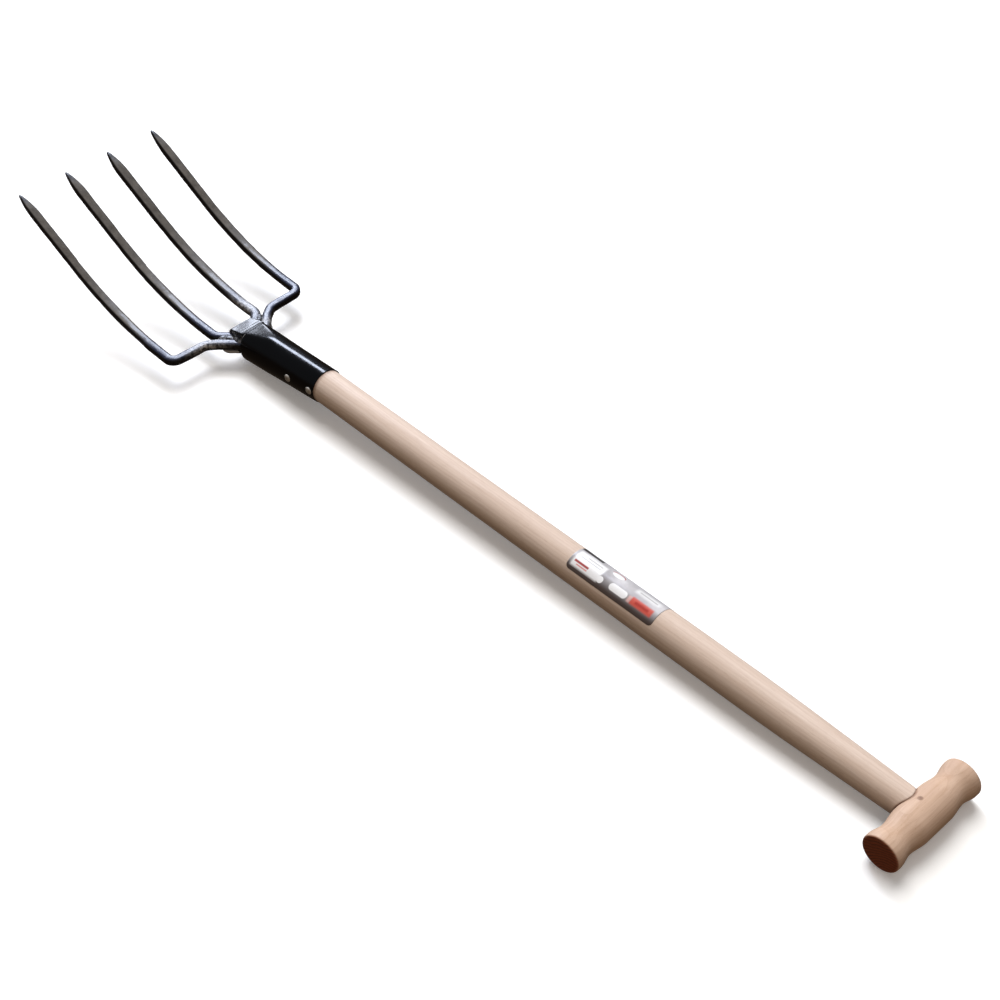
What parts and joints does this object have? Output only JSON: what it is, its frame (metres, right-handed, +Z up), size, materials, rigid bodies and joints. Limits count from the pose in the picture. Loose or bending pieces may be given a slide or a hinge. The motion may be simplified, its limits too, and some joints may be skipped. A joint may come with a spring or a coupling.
{
  "type": "digging fork",
  "caption": "Garden digging fork with a T-handle on a round wooden shaft, a cranked steel socket, and square pointed tines that curve forward.",
  "frame": {"origin": "middle of the bounding box in plan, on the ground that the fork lies on", "axes": "+X along the shaft towards the tines, +Y to the tool's left, +Z up, with the tines curving up"},
  "size_m": [1.1731, 0.1838, 0.1188],
  "materials": {
    "shaft_wood": "pale turned beech, lightly sanded, unvarnished",
    "handle_wood": "warm turned wood with darker end grain",
    "black_paint": "gloss black paint over pressed steel",
    "forged_steel": "thin clear-coated black over forged steel, taupe-grey on the blades",
    "weld_metal": "painted weld beads with spatter",
    "bare_steel": "dull zinc-plated rivets",
    "nail_steel": "dark wire nail",
    "label_film": "silver film label with plain red and grey blocks"
  },
  "bodies": {
    "root": {"shaft": "shaft_wood", "t_handle": "handle_wood", "handle_nail": "nail_steel", "socket": "black_paint", "rivet_front": "bare_steel", "rivet_rear": "bare_steel", "tine_outer_left": "forged_steel", "tine_inner_left": "forged_steel", "tine_inner_right": "forged_steel", "tine_outer_right": "forged_steel", "weld_seam_left": "weld_metal", "weld_seam_right": "weld_metal", "weld_nose_left": "weld_metal", "weld_nose_right": "weld_metal", "weld_heel": "weld_metal", "label": "label_film"}
  },
  "joints": []
}
